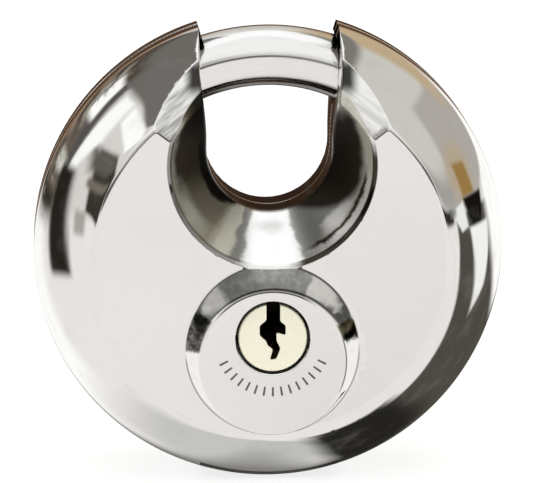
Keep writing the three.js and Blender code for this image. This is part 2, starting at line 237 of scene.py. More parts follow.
def throat_outline():
    """Points along the throat's wall from the right of the mouth, round the bottom, to the left."""
    top = math.sqrt(DISC_R**2 - MOUTH_HALF**2)
    dense_z = np.linspace(top, THROAT_Z, 400)
    right = np.stack([throat_width(dense_z), dense_z], 1)
    turn = np.radians(np.linspace(0, -180, 400))[1:-1]
    under = np.stack([THROAT_HALF * np.cos(turn), THROAT_Z + THROAT_HALF * np.sin(turn)], 1)
    left = right[::-1] * (-1, 1)
    dense = np.concatenate([right, under, left])
    run = lengths_along(dense)
    # closer points where the shackle's hole cuts the wall
    hole = BEND_R + HOLE_R * np.cos(np.radians(np.linspace(2, 178, 34)))
    hole_run = np.interp(-hole, -np.hypot(*right.T), run[: len(right)])
    plain = np.arange(0, run[-1] / 2, 0.42)
    apart = np.array([min(abs(p - hole_run)) > 0.16 for p in plain])
    apart[0] = True
    runs = np.unique(np.concatenate([plain[apart], hole_run]))
    runs = np.concatenate([runs, [run[-1] / 2], run[-1] - runs[::-1]])
    x = np.interp(runs, run, dense[:, 0])
    z = np.interp(runs, run, dense[:, 1])
    tx, tz = np.gradient(x, runs), np.gradient(z, runs)
    normal = np.stack([tz, np.zeros_like(tx), -tx], 1)
    normal /= np.linalg.norm(normal, axis=1, keepdims=True)
    # the normals point into the throat, whose middle is some way above its round bottom
    towards = np.sign(-(normal[:, 0] * x + normal[:, 2] * (z - THROAT_Z - 6)))
    towards[np.abs(towards) < 0.5] = 1
    return np.stack([x, z], 1), normal * towards[:, None]


OUTLINE, OUTLINE_N = throat_outline()

# --- the flat map on which each shell is meshed

# the mouth's edge in degrees round the axis, and how finely the mesh is made
MOUTH_ANGLE = math.degrees(math.atan2(OUTLINE[0, 1], OUTLINE[0, 0]))
RIM_STEPS = 441
HOLE_STEPS = 120
WALL_ROWS = 9
ROW_STEP = 0.62
GRID_STEP = 1.3
FINE = 0.16
SPLIT_PASSES = 2
# where the rim's side has its rows of points at the mouth, above its edge at the seam
RIM_SIDE = (2.2, 1.4, SEAM_HALF + SEAM_R)

# where rows of points lie: millimetres beyond the throat's wall and the plug's hole, shares of the
# way up the boss and up the dish, and lengths along the rim's profile
WALL_GAPS = (0.015, 0.06, 0.13, 0.22, 0.34, 0.46, 0.8)
HOLE_GAPS = (0.01, 0.04, 0.09, 0.15, 0.23, 0.4)
BOSS_SHARES = (-0.12, 0, 0.12, 0.5, 0.88, 1.0, 1.12)
DISH_SHARES = np.concatenate([np.arange(0.06, 0.95, 0.09), [0.97, 1.0, 1.03]])
SEAM_RUNS = (RUN_EQUATOR, RUN_END - 0.06, RUN_END - 0.12, RUN_END - 0.18, RUN_END - SEAM_R * 1.6)


def run_of(r):
    """The length along the rim's profile at a distance from the axis."""
    return np.interp(r, PROFILE[: EQUATOR_AT + 1, 0], LENGTHS[: EQUATOR_AT + 1])


def spread(xz):
    """From X and Z to the flat map, where steep parts have room."""
    r = np.maximum(np.hypot(xz[:, 0], xz[:, 1]), 1e-9)
    return xz * (run_of(r) / r)[:, None]


def run_and_way(flat):
    """How far a point of the flat map is from its middle, and in which direction."""
    run = np.hypot(flat[:, 0], flat[:, 1])
    return run, flat / np.maximum(run, 1e-9)[:, None]


def on_disc(flat):
    """From the flat map back to X and Z."""
    run, way = run_and_way(flat)
    return way * np.interp(run, LENGTHS, PROFILE[:, 0])[:, None]


def lifted(flat, front):
    """From the flat map to points on the shell and their normals, Y counted away from the seam."""
    run, way = run_and_way(flat)
    x, z = on_disc(flat).T
    on_rim = run > RUN_EQUATOR - 1e-6
    y = np.where(on_rim, np.interp(run, LENGTHS, PROFILE[:, 1]), half_thickness(x, z, front))
    turn = np.clip((run - (RUN_END - SEAM_R * math.pi / 2)) / SEAM_R, 0, math.pi / 2)
    rim_n = np.stack([way[:, 0] * np.cos(turn), -np.sin(turn), way[:, 1] * np.cos(turn)], 1)
    n = np.where(on_rim[:, None], rim_n, surface_normals(x, z, front))
    return np.stack([x, y, z], 1), n


def ring_points(radius, count, centre=0.0, start=0.0):
    t = np.radians(start) + np.linspace(0, 2 * math.pi, count, endpoint=False)
    return np.stack([radius * np.cos(t), centre + radius * np.sin(t)], 1)


def map_edge():
    """The map's boundary: the throat's outline, then once round the rim back to its start."""
    rim_runs = np.interp(-np.array(RIM_SIDE), -PROFILE[EQUATOR_AT:, 1], LENGTHS[EQUATOR_AT:])
    rim_runs = np.concatenate([rim_runs, [RUN_END]])
    turn = np.radians(np.linspace(180 - MOUTH_ANGLE, MOUTH_ANGLE + 360, RIM_STEPS))
    ways = np.stack([np.cos(turn), np.sin(turn)], 1)
    left_side = rim_runs[:, None] * ways[0]
    right_side = rim_runs[::-1, None] * ways[-1]
    return np.concatenate([spread(OUTLINE), left_side, RUN_END * ways[1:-1], right_side])


def seed_points(front):
    """Points over the map, in rows that follow the rim, the dish, the boss and the holes."""
    rows = []
    for run in np.arange(25.0, RUN_END - 0.3, ROW_STEP):
        rows.append(ring_points(run, 300, start=0.6 * (int(run * 10) % 2)))
    for run in SEAM_RUNS:
        rows.append(ring_points(run, RIM_STEPS))
    for gap in WALL_GAPS:
        rows.append(spread(OUTLINE - OUTLINE_N[:, ::2] * gap))
    if front:
        for gap in HOLE_GAPS:
            rows.append(ring_points(PLUG_HOLE_R + gap, HOLE_STEPS, PLUG_Z))
        for share in BOSS_SHARES:
            radius, middle = circle_at(share, BOSS_FOOT, BOSS_TOP)
            rows.append(ring_points(radius, 200, middle))
    for share in DISH_SHARES:
        radius, middle = circle_at(share, THROAT, DISH)
        rows.append(spread(ring_points(radius, 190, middle)))
    ticks = np.arange(-26, 26.1, GRID_STEP)
    grid = np.stack(np.meshgrid(ticks, ticks), -1).reshape(-1, 2)
    rows.append(grid + rng.uniform(-0.2, 0.2, grid.shape))
    return np.concatenate(rows)


def clear_of_edges(flat, front):
    """Which points of the map are on the shell and not too near its boundary."""
    run, way = run_and_way(flat)
    x, z = on_disc(flat).T
    ok = (throat_gap(x, z) > 0.008) & (run < RUN_END - 0.02)
    angle = np.degrees(np.arctan2(way[:, 1], way[:, 0]))
    in_mouth = (angle > MOUTH_ANGLE - 0.15) & (angle < 180 - MOUTH_ANGLE + 0.15)
    ok &= ~((run > RUN_EQUATOR - 0.01) & in_mouth)
    if front:
        ok &= np.hypot(x, z - PLUG_Z) > PLUG_HOLE_R + 0.005
    return ok


def is_metal(flat, front):
    """Which triangles belong to the shell, by their middles."""
    ok = throat_gap(*on_disc(flat).T) > -0.02
    if front:
        ok &= np.hypot(flat[:, 0], flat[:, 1] - PLUG_Z) >= PLUG_HOLE_R
    return ok | clear_of_edges(flat, front)


def thinned(flat, least):
    """At most one point in each square of that size."""
    keys = np.round(flat / least).astype(int)
    _, first = np.unique(keys, axis=0, return_index=True)
    return flat[np.sort(first)]


def bent_sides(verts, tris, front):
    """The middles of the sides that are long for how much the surface turns along them."""
    points, n = lifted(verts, front)
    pairs = np.concatenate([tris[:, [0, 1]], tris[:, [1, 2]], tris[:, [2, 0]]])
    sides = np.unique(np.sort(pairs, 1), axis=0)
    a, b = sides.T
    bend = np.degrees(np.arccos(np.clip((n[a] * n[b]).sum(1), -1, 1)))
    long = np.linalg.norm(points[a] - points[b], axis=1)
    split = (long > FINE * 1.5) & (bend > 5 + 3 * FINE / np.maximum(long, 1e-6))
    return verts[sides[split]].mean(1)


def mesh_map(front):
    """The map's points and triangles, and how many points its boundary has. Those come first."""
    edge = map_edge()
    hole = ring_points(PLUG_HOLE_R, HOLE_STEPS, PLUG_Z) if front else np.zeros((0, 2))
    fixed = np.concatenate([edge, hole])
    rings = [list(range(len(edge)))]
    if front:
        rings.append(list(range(len(edge), len(fixed))))
    points = seed_points(front)
    points = thinned(points[clear_of_edges(points, front)], 0.05)
    for step in range(SPLIT_PASSES + 1):
        flat = np.concatenate([fixed, points])
        made = delaunay_2d_cdt([Vector(p) for p in flat], [], rings, 1, 1e-7, False)
        verts = np.array([tuple(v) for v in made[0]])
        tris = np.array(made[2])
        tris = tris[is_metal(verts[tris].mean(1), front)]
        if step == SPLIT_PASSES:
            break
        new = bent_sides(verts, tris, front)
        new = new[clear_of_edges(new, front)]
        points = thinned(np.concatenate([points, new]), 0.03)
    return verts, tris, len(edge)


# --- solid meshes


def add_object(name, data):
    obj = bpy.data.objects.new(name, data)
    bpy.context.scene.collection.objects.link(obj)
    return obj


def build_mesh(name, points, faces, loop_normals=None, material=None):
    """A mesh object from points in millimetres, faces and, if given, one normal for each corner."""
    mesh = bpy.data.meshes.new(name)
    corners = [tuple(int(i) for i in f) for f in faces]
    mesh.from_pydata([tuple(p) for p in to_world(points)], [], corners)
    mesh.polygons.foreach_set("use_smooth", [True] * len(mesh.polygons))
    if loop_normals is not None:
        mesh.normals_split_custom_set([tuple(n) for n in loop_normals])
    mesh.update()
    if material:
        mesh.materials.append(material)
    return add_object(name, mesh)


def throat_wall(outer):
    """Rows of points from the throat's lip down to the seam, or to the shackle's hole."""
    reach = np.hypot(*OUTLINE.T)
    hole_y = np.sqrt(np.maximum(HOLE_R**2 - (reach - BEND_R) ** 2, 0))
    bottom = np.maximum(SEAM_HALF, hole_y)
    lip_y = outer[: len(OUTLINE), 1]
    rows = []
    for k in range(1, WALL_ROWS + 1):
        y = lip_y + (bottom - lip_y) * (k / WALL_ROWS)
        rows.append(np.stack([OUTLINE[:, 0], y, OUTLINE[:, 1]], 1))
    return np.concatenate(rows)


def wall_faces(points, base, edge_count):
    """The faces of the throat's wall and their corner normals. The wall's points start at base."""
    columns = len(OUTLINE)
    rows = base + np.arange(WALL_ROWS * columns).reshape(WALL_ROWS, columns)
    grid = np.concatenate([np.arange(columns)[None], rows])
    quads = np.stack([grid[:-1, :-1], grid[:-1, 1:], grid[1:, 1:], grid[1:, :-1]], -1).reshape(-1, 4)
    a, b, d = points[quads[:, 0]], points[quads[:, 1]], points[quads[:, 3]]
    wanted = OUTLINE_N[np.tile(np.arange(columns - 1), WALL_ROWS)]
    turned = (np.cross(b - a, d - a) * wanted).sum(1) < 0
    quads = np.where(turned[:, None], quads[:, ::-1], quads)

    # the wall's two end columns are the rim's own corner points
    rim_rows = len(RIM_SIDE) + 1
    left_end = [columns - 1] + list(range(columns, columns + rim_rows))
    right_end = [0] + list(range(edge_count - 1, edge_count - rim_rows - 1, -1))
    corner = {}
    for ends, column in ((left_end, columns - 1), (right_end, 0)):
        for v in grid[1:, column]:
            corner[v] = ends[int(np.argmin(abs(points[ends, 1] - points[v, 1])))]

    # a face whose corners fall together keeps one of each
    faces, normals = [], []
    for quad in quads:
        kept = {}
        for v in quad:
            column = v if v < base else (v - base) % columns
            kept.setdefault(int(corner.get(v, v)), OUTLINE_N[column])
        if len(kept) > 2:
            faces.append(list(kept))
            normals.append(np.array(list(kept.values())))
    return faces, normals


def inner_sheet(points, inward, front):
    """The points one wall further in, kept inside the shell where its corners are tight."""
    inner = points - inward * WALL
    pull = np.minimum(1, (DISC_R - WALL) / np.maximum(np.hypot(inner[:, 0], inner[:, 2]), 1e-9))
    inner[:, [0, 2]] *= pull[:, None]
    ceiling = half_thickness(inner[:, 0], inner[:, 2], front, lips=False) - 0.8 * WALL
    inner[:, 1] = np.maximum(np.minimum(inner[:, 1], ceiling), SEAM_HALF)
    return inner


def closing_faces(faces, both, count):
    """Faces between the open edges of the outer sheet and those of the inner sheet."""
    ways = dict.fromkeys((i, j) for f in faces for i, j in zip(f, f[1:] + f[:1]))
    made, normals = [], []
    for i, j in ways:
        if (j, i) in ways:
            continue
        f = [j, i, i + count, j + count]
        n = np.cross(both[f[1]] - both[f[0]], both[f[3]] - both[f[0]])
        if np.linalg.norm(n) < 1e-9:
            n = np.cross(both[f[2]] - both[f[1]], both[f[0]] - both[f[1]])
        n = n / max(np.linalg.norm(n), 1e-12)
        made.append(f)
        normals.append(np.array([n] * 4))
    return made, normals


def shell(name, front):
    """One pressed shell: its outer sheet, the throat's wall, and an inner sheet one wall in."""
    flat, tris, edge_count = mesh_map(front)
    outer, outer_n = lifted(flat, front)
    a, b, c = outer[tris[:, 0]], outer[tris[:, 1]], outer[tris[:, 2]]
    facing = (np.cross(b - a, c - a) * outer_n[tris[:, 0]]).sum(1)
    tris = np.where((facing < 0)[:, None], tris[:, ::-1], tris)

    # the inner sheet follows softer normals, and the rim's own direction near the seam
    inward = surface_normals(outer[:, 0], outer[:, 2], front, 4.0)
    on_rim = np.hypot(*flat.T) > RUN_EQUATOR - 1.0
    inward = np.where(on_rim[:, None], outer_n * (1, 0, 1) + (0, 1e-6, 0), inward)
    inward /= np.linalg.norm(inward, axis=1, keepdims=True)

    points = np.concatenate([outer, throat_wall(outer)])
    inward = np.concatenate([inward, np.tile(OUTLINE_N, (WALL_ROWS, 1))])
    wall, wall_n = wall_faces(points, len(outer), edge_count)
    faces = [list(t) for t in tris] + wall
    normals = list(outer_n[tris]) + wall_n

    count = len(points)
    both = np.concatenate([points, inner_sheet(points, inward, front)])
    inside = [[i + count for i in f[::-1]] for f in faces]
    inside_n = [-inward[f[::-1]] for f in faces]
    closing, closing_n = closing_faces(faces, both, count)
    faces = faces + inside + closing
    normals = normals + inside_n + closing_n

    # the front shell is the mirror image, in front of the seam
    side = -1 if front else 1
    both[:, 1] *= side
    if front:
        faces = [f[::-1] for f in faces]
        normals = [n[::-1] for n in normals]
    used = np.unique(np.concatenate(faces))
    again = np.full(len(both), -1)
    again[used] = np.arange(len(used))
    faces = [[again[i] for i in f] for f in faces]
    return build_mesh(name, both[used], faces, np.concatenate(normals) * (1, side, 1), SHELL)


# --- materials


def operator(op):
    return lambda self, other: self.n.math(op, self, other)


class Value:
    """A number in a shader, with the usual arithmetic."""

    __add__ = operator("ADD")
    __sub__ = operator("SUBTRACT")
    __mul__ = operator("MULTIPLY")
    __truediv__ = operator("DIVIDE")

    def __init__(self, n, socket):
        self.n = n
        self.socket = socket

    def __neg__(self):
        return self * -1.0

    def __abs__(self):
        return self.n.math("ABSOLUTE", self)


class Nodes:
    """Short ways to add nodes to one tree."""

    def __init__(self, tree):
        self.tree = tree
        tree.nodes.clear()

    def add(self, kind, **values):
        node = self.tree.nodes.new("ShaderNode" + kind)
        for key, value in values.items():
            self.feed(node.inputs[key], value)
        return node

    def feed(self, socket, value):
        if isinstance(value, Value):
            value = value.socket
        if isinstance(value, bpy.types.NodeSocket):
            self.tree.links.new(value, socket)
        else:
            socket.default_value = value

    def math(self, op, *args):
        node = self.add("Math")
        node.operation = op
        for socket, value in zip(node.inputs, args):
            self.feed(socket, value)
        return Value(self, node.outputs[0])

    def hypot(self, a, b):
        return self.math("SQRT", a * a + b * b)

    def bearing(self, across, up):
        """Degrees from straight up, positive to the right."""
        return self.math("DEGREES", self.math("ARCTAN2", across, up))

    def split(self, vector):
        node = self.add("SeparateXYZ", Vector=vector)
        return [Value(self, socket) for socket in node.outputs]

    def vector(self, x, y, z):
        return self.add("CombineXYZ", X=x, Y=y, Z=z).outputs[0]

    def noise(self, vector, scale, detail, rough):
        node = self.add("TexNoise", Vector=vector, Scale=scale, Detail=detail, Roughness=rough)
        return Value(self, node.outputs["Fac"])

    def ramp(self, value, lo, hi, out_lo=0.0, out_hi=1.0):
        """From out_lo to out_hi, smoothly, as the value goes from lo to hi."""
        names = ("Value", "From Min", "From Max", "To Min", "To Max")
        node = self.add("MapRange", **dict(zip(names, (value, lo, hi, out_lo, out_hi))))
        node.interpolation_type = "SMOOTHSTEP"
        return Value(self, node.outputs[0])

    def within(self, value, lo, hi, soft):
        """1 between two values and 0 beyond them, with both edges soft."""
        fall = self.ramp(value, hi - soft, hi + soft, 1.0, 0.0)
        return self.ramp(value, lo - soft, lo + soft) * fall

    def mix(self, share, a, b):
        node = self.add("Mix")
        node.data_type = "RGBA"
        self.feed(node.inputs["Factor"], share)
        self.feed(node.inputs["A"], a)
        self.feed(node.inputs["B"], b)
        return node.outputs["Result"]


def colour(r, g, b):
    """An 8-bit screen colour as a linear one."""
    def lin(c):
        c = c / 255
        return c / 12.92 if c <= 0.04045 else ((c + 0.055) / 1.055) ** 2.4
    return (lin(r), lin(g), lin(b), 1.0)


def darker(base, share):
    return tuple(c * share for c in base[:3]) + (1.0,)


def new_metal(name, metal):
    """A material with its nodes' helper, its shader's inputs and the object's own space."""
    mat = bpy.data.materials.new(name)
    mat.use_nodes = True
    n = Nodes(mat.node_tree)
    shader = n.add("BsdfPrincipled", Metallic=metal)
    n.add("OutputMaterial", Surface=shader.outputs[0])
    return mat, n, shader.inputs, n.add("TexCoord").outputs["Object"]


def add_bump(n, inputs, height):
    bump = n.add("Bump", Strength=1.0, Distance=0.001, Height=height)
    n.feed(inputs["Normal"], bump.outputs[0])


SWIRLS_PER_MM = 9
SWIRL_TURN = 2.2
# painted shade for the keyway's cut walls
KEYWAY_SHADE = (0.03, 0.022, 0.014, 1)


def steel(name, base, rough, swirl, wave, ticks_and_painted_light=False, metal=1, cut_from=None):
    """Metal with smudges, fine turning lines round the disc's axis and a slow waviness.

    The shell's flag adds its etched ticks and its painted reflections, highlights and shade;
    beyond cut_from, a Y, cut walls near the plug's axis get painted shade.
    x, y and z are millimetres round the disc's axis, here and in each function that paints the shell.
    """
    mat, n, inputs, spot = new_metal(name, metal)
    x, y, z = (v / MM for v in n.split(spot))
    z = z - AXIS_Z / MM
    turned = n.math("ARCTAN2", z, x) * SWIRL_TURN
    polar = n.vector(n.hypot(x, z) * SWIRLS_PER_MM, turned, y * SWIRLS_PER_MM)
    smudge = n.noise(spot, 60, 4, 0.6)
    speck = n.noise(spot, 1500, 2, 0.6)
    lines = n.noise(polar, 0.5, 2, 0.6)
    level = n.ramp(smudge, 0.35, 0.75, rough * 0.8, rough * 1.7) + (lines - 0.5) * (rough * 0.7)
    tone = n.mix(n.ramp(smudge, 0.3, 0.8, 0, 0.5), base, darker(base, 0.93))
    tone = n.mix(n.ramp(speck, 0.62, 0.75, 0, 0.3), tone, darker(base, 0.85))
    if ticks_and_painted_light:
        share = tick_share(n, x, z, y)
        tone = n.mix(share, tone, colour(112, 110, 108))
        # painted reflections, highlights and shade on the dish, its lip, the cheeks, the throat's wall and
        # the boss's step
        tone, level = dish_satin_and_painted_light(n, x, z, y, spot, tone, level + share * 0.35)
        tone = boss_painted_light(n, x, z, y, spot, tone)
    if cut_from is not None:
        # painted shade on the keyway's walls inside the plug
        inside = n.ramp(y, cut_from, cut_from + 0.35)
        share_of_plug = n.hypot(x, z - PLUG_Z) / PLUG_R
        tone = n.mix(inside * n.ramp(share_of_plug, 0.98, 0.96), tone, KEYWAY_SHADE)
    n.feed(inputs["Base Color"], tone)
    n.feed(inputs["Roughness"], level)
    slow = n.noise(spot, 190, 1, 0.4)
    add_bump(n, inputs, lines * swirl + speck * (swirl * 0.4) + slow * wave)
    return mat


def cast(name, base, rough, grain, depth, metal=1):
    """A cast, drawn or cut metal seen inside the lock."""
    mat, n, inputs, spot = new_metal(name, metal)
    grit = n.noise(spot, grain, 4, 0.6)
    patch = n.noise(spot, grain * 0.08, 2, 0.5)
    n.feed(inputs["Base Color"], n.mix(n.ramp(patch, 0.3, 0.7), base, darker(base, 0.75)))
    n.feed(inputs["Roughness"], n.ramp(grit, 0.3, 0.7, rough * 0.8, min(rough * 1.25, 1)))
    add_bump(n, inputs, grit * depth)
    return mat


WHITE = (1, 1, 1, 1)
# painted reflections, highlights and shade in the dish, at its lip and on the throat's wall
DISH_GREY = (0.40, 0.40, 0.38, 1)
DISH_PALE = (0.80, 0.78, 0.70, 1)
DISH_OLIVE = (0.34, 0.31, 0.245, 1)
DISH_BROWN = (0.10, 0.08, 0.05, 1)
DISH_SHADE = (0.052, 0.044, 0.034, 1)
DISH_BLACK = (0.02, 0.018, 0.014, 1)
THROAT_SHADE = (0.045, 0.034, 0.028, 1)


def dish_satin_and_painted_light(n, x, z, y, spot, tone, level):
    """The drawn dish of the throat: satin, with painted reflections and shade up its flanks and a painted
    highlight at its lowest point.

    turn is degrees round the dish from its lowest point, positive to the right, and up is the
    share of the way from the throat's wall to the lip.
    """
    dz = z - DISH[1]
    depth = abs(y)
    reach = n.hypot(x, dz)
    blur = n.noise(spot, 420, 3, 0.6) - 0.5
    up = (depth - BAND_HALF) / (DISC_HALF - BAND_HALF) + blur * 0.16
    turn = n.bearing(x, -dz) + blur * 9
    away = abs(turn)
    left = -turn

    # painted highlight at the lowest point, painted grey reflection round it, and a painted grey band
    # across the highlight
    paint = n.mix(n.ramp(away, 16, 20), WHITE, DISH_GREY)
    grey_reflection_band = n.within(up, 0.2, 0.36, 0.1) * n.ramp(away, 18, 4, 0, 0.45)
    paint = n.mix(grey_reflection_band, paint, DISH_GREY)

    # the left flank, painted reflections and shade: from pale over olive and brown to black at the mouth
    paint = n.mix(n.ramp(left, 24, 27), paint, DISH_PALE)
    paint = n.mix(n.ramp(left, 34, 44), paint, DISH_OLIVE)
    paint = n.mix(n.ramp(left, 34, 60) * n.within(up, 0.66, 0.95, 0.1), paint, DISH_PALE)
    paint = n.mix(n.ramp(left, 62, 88) * n.ramp(up, 0.94, 0.78), paint, DISH_BROWN)
    paint = n.mix(n.ramp(left, 95, 122) * n.ramp(up, 0.86, 0.68), paint, DISH_BLACK)
    below = n.ramp(up - (n.ramp(left, 26, 60) * 0.2 + 0.02), 0.05, -0.05)
    paint = n.mix(n.ramp(left, 24, 34) * below, paint, DISH_BLACK)

    # the right flank, painted dark reflection below a rising edge and painted pale reflection above it,
    # with a painted glint and painted dark and light lines low down
    paint = n.mix(n.ramp(turn, 30, 40) * n.ramp(up, 0.5, 0.8), paint, DISH_PALE)
    glint = n.within(turn, 38, 66, 5) * n.within(up, 0.52, 0.72, 0.05)
    paint = n.mix(glint, paint, WHITE)
    below = n.ramp(up - n.ramp(turn, 18, 78) * 0.7, 0.1, -0.1)
    paint = n.mix(n.ramp(turn, 20, 30) * below, paint, DISH_SHADE)
    paint = n.mix(n.ramp(turn, 118, 134) * n.ramp(up, 0.3, 0.5), paint, DISH_PALE)
    low_right = n.within(turn, 26, 84, 6)
    paint = n.mix(low_right * n.within(up, 0.76, 0.83, 0.03), paint, DISH_SHADE)
    paint = n.mix(low_right * n.within(up, 0.84, 0.95, 0.03), paint, WHITE)

    in_dish = n.ramp(reach, 15.1, 14.8) * n.ramp(depth, 12.95, 12.8)
    in_dish = in_dish * n.ramp(depth, BAND_HALF - 0.1, BAND_HALF + 0.1)
    tone = n.mix(in_dish, tone, paint)
    satin = n.ramp(away, 20, 60, 0.24, 0.4)
    level = level + in_dish * (satin - level)

    # painted shade along the dish's lip on both sides, less on the left
    lip = n.within(turn, 14, 100, 6) + n.within(left, 16, 108, 6) * 0.7
    lip = lip * n.within(reach, 14.75, 15.45, 0.08) * n.ramp(depth, 12.2, 12.5)
    tone = n.mix(lip, tone, DISH_SHADE)
    tone = cheek_brushing_and_painted_light(n, x, z, depth, reach, tone)

    # painted shade on the throat's wall, but not on the rim beside its mouth
    in_mouth = n.ramp(abs(x), MOUTH_HALF + 0.05, MOUTH_HALF + 0.02)
    on_wall = n.math("MAXIMUM", n.ramp(n.hypot(x, z), 33.6, 33.2), in_mouth)
    in_throat = n.ramp(depth, BAND_HALF + 0.1, BAND_HALF - 0.1) * on_wall
    return n.mix(in_throat, tone, THROAT_SHADE), level


# painted grey reflection in the cheeks' brushing stripes, and painted dark reflection near the mouth
CHEEK_GREY = (0.30, 0.295, 0.285, 1)
CHEEK_BLACK = (0.05, 0.048, 0.045, 1)
# the brushing of the cheeks runs along (0.8, -0.6) in X and Z
BRUSH_X, BRUSH_Z = 0.8, -0.6


def cheek_brushing_and_painted_light(n, x, z, depth, reach, tone):
    """The cut-back cheeks beside the throat's mouth: brushing stripes in painted grey reflection, greyer
    on the left, and painted dark reflection near the mouth.
    """
    ax = abs(x)
    plane = (ax - HORN_X) * CHEEK_SLOPE_X - (z - HORN_Z) * CHEEK_SLOPE_Z
    off = abs(depth - DISC_HALF - plane)
    on = n.ramp(off, 0.12, 0.05) * n.ramp(reach, 14.9, 15.1) * n.ramp(depth, 12.97, 12.9)
    along = ax * BRUSH_X + z * BRUSH_Z
    across = ax * -BRUSH_Z + z * BRUSH_X
    grain = n.vector(along * 0.1, across * 0.9, n.math("SIGN", x))
    stripe = n.noise(grain, 1, 3, 0.6)
    strength = n.ramp(x, 1, -1) * 0.5 + 0.35
    # brushing stripes carry painted grey reflection, stronger on the left
    tone = n.mix(on * n.ramp(stripe, 0.38, 0.62) * strength, tone, CHEEK_GREY)
    # painted dark reflection on the cheeks near the mouth
    near_mouth = n.ramp(ax, 13.2, 11.4) * n.ramp(z, 23.5, 26) * n.ramp(z, 30, 28)
    return n.mix(on * near_mouth, tone, CHEEK_BLACK)


# painted reflections and shade on the boss's step, and painted shade lines at its edges
STEP_PALE = (0.76, 0.755, 0.74, 1)
STEP_MOTTLE = (0.6, 0.59, 0.57, 1)
STEP_GREY = (0.27, 0.27, 0.265, 1)
STEP_OLIVE = (0.13, 0.115, 0.07, 1)
STEP_BROWN = (0.045, 0.042, 0.038, 1)
STEP_BLACK = (0.03, 0.03, 0.025, 1)
INNER_LINE = (0.10, 0.098, 0.09, 1)
OUTER_LINE = (0.22, 0.22, 0.215, 1)
BOSS_MIDDLE = -14.1


def boss_painted_light(n, x, z, y, spot, tone):
    """The step round the boss, with painted reflections and shade on it and painted shade lines along its
    edges.

    turn is degrees round the boss from its top, positive to the right.
    """
    depth = -y
    blur = n.noise(spot, 900, 3, 0.7)
    turn = n.bearing(x, z - BOSS_MIDDLE) + (blur - 0.5) * 7

    def ring(circle, inset, half):
        radius = circle[0] - inset
        return n.within(n.hypot(x, z - circle[1]), radius - half, radius + half, 0.06)

    step = n.within(depth, DISC_HALF + 0.06, DISC_HALF + BOSS_HEIGHT - 0.04, 0.03)
    # painted reflections and highlights round the step, in patches, mottled at random
    paint = n.mix(n.within(turn, -86, -59, 1.5), WHITE, STEP_BROWN)
    paint = n.mix(n.within(turn, -38, 28, 3), paint, STEP_GREY)
    paint = n.mix(n.within(turn, 28, 64, 1.5), paint, STEP_PALE)
    paint = n.mix(n.within(turn, 64, 78, 1.5), paint, STEP_OLIVE)
    paint = n.mix(n.within(turn, 73, 78, 2), paint, STEP_BLACK)
    mottle = n.ramp(blur, 0.35, 0.7, 0, 0.35) * n.within(turn, -86, 64, 2)
    tone = n.mix(step, tone, n.mix(mottle, paint, STEP_MOTTLE))

    # painted shade lines inside the top's edge, along the foot and on the right of the top
    on_top = n.ramp(depth, 13.8, 13.9)
    top_line = ring(BOSS_TOP, 0.35, 0.12) * n.within(turn, -52, 34, 10)
    tone = n.mix(top_line * on_top, tone, INNER_LINE)
    sides = n.math("MAXIMUM", n.ramp(turn, 80, 92), n.ramp(turn, -88, -96))
    foot_line = ring(BOSS_FOOT, 0.08, 0.12) * sides * n.ramp(depth, 12.9, 13)
    tone = n.mix(foot_line * 0.75, tone, OUTER_LINE)
    right_line = ring(BOSS_TOP, 0.1, 0.10) * n.within(turn, 76, 118, 4)
    return n.mix(right_line * on_top, tone, OUTER_LINE)


TICK_PITCH = 9
TICK_INNER_R, TICK_OUTER_R = 7.4, 8.85
TICK_ARC = 66.5


def tick_share(n, x, z, y):
    """Plain etched ticks round the lower arc of the boss, standing in for a stamped line."""
    dz = z - PLUG_Z
    reach = n.hypot(x, dz)
    angle = n.bearing(x, -dz)
    phase = n.math("FRACT", angle / TICK_PITCH)
    tick = n.ramp(abs(phase - 0.5), 0.36, 0.40)
    inner = n.ramp(reach, TICK_INNER_R - 0.05, TICK_INNER_R + 0.1)
    outer = n.ramp(reach, TICK_OUTER_R + 0.05, TICK_OUTER_R - 0.1)
    arc = n.ramp(abs(angle), TICK_ARC + 0.5, TICK_ARC - 0.5)
    on_boss = n.ramp(y, -13.4, -13.5)
    return tick * inner * outer * arc * on_boss


SHELL = steel("polished_shell", (0.90, 0.893, 0.885, 1), 0.042, 0.0006, 0.004, ticks_and_painted_light=True)
ROD = steel("polished_rod", (0.89, 0.885, 0.88, 1), 0.10, 0.0006, 0.002)
WELD = steel("weld_bead", (0.62, 0.60, 0.57, 1), 0.22, 0.002, 0.004)
keyway_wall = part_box("plug")[0].y / MM + 0.2
PALE_BRASS = (1, 0.97, 0.80, 1)
BRASS = steel("pale_brass", PALE_BRASS, 0.42, 0.0012, 0.003, metal=0.6, cut_from=keyway_wall)
PIN_BRASS = cast("pin_brass", (0.78, 0.62, 0.30, 1), 0.3, 2500, 0.001)
PLAIN = cast("plain_steel", (0.55, 0.55, 0.56, 1), 0.38, 2000, 0.0015)
DARK = cast("hardened_steel", (0.16, 0.16, 0.17, 1), 0.5, 1800, 0.002)
ZINC = cast("cast_zinc", (0.30, 0.31, 0.32, 1), 0.6, 1500, 0.004, 0.9)
SPRING = cast("spring_steel", (0.60, 0.61, 0.63, 1), 0.3, 3000, 0.001)

# the CAD nodes that are kept inside, by name without their numbers
FINISHES = [
    (DARK, "guard_steel", ("throat_guard", "drill_guard")),
    (ZINC, "case_zinc", ("lock_case",)),
    (PIN_BRASS, "pin_brass", ("chamber_cover", "key_pin")),
    (PLAIN, "plain_steel", ("driver_pin", "plug_driver", "shackle_carrier", "carrier_rivet",
                            "case_screw", "case_post")),
    (SPRING, "spring_steel", ("pin_spring", "plug_clip")),
]
for node_name, node_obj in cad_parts.items():
    for finish, slot_name, kinds in FINISHES:
        if node_name.rstrip("_0123456789") in kinds:
            node_obj.data.materials.clear()
            node_obj.data.materials.append(finish)


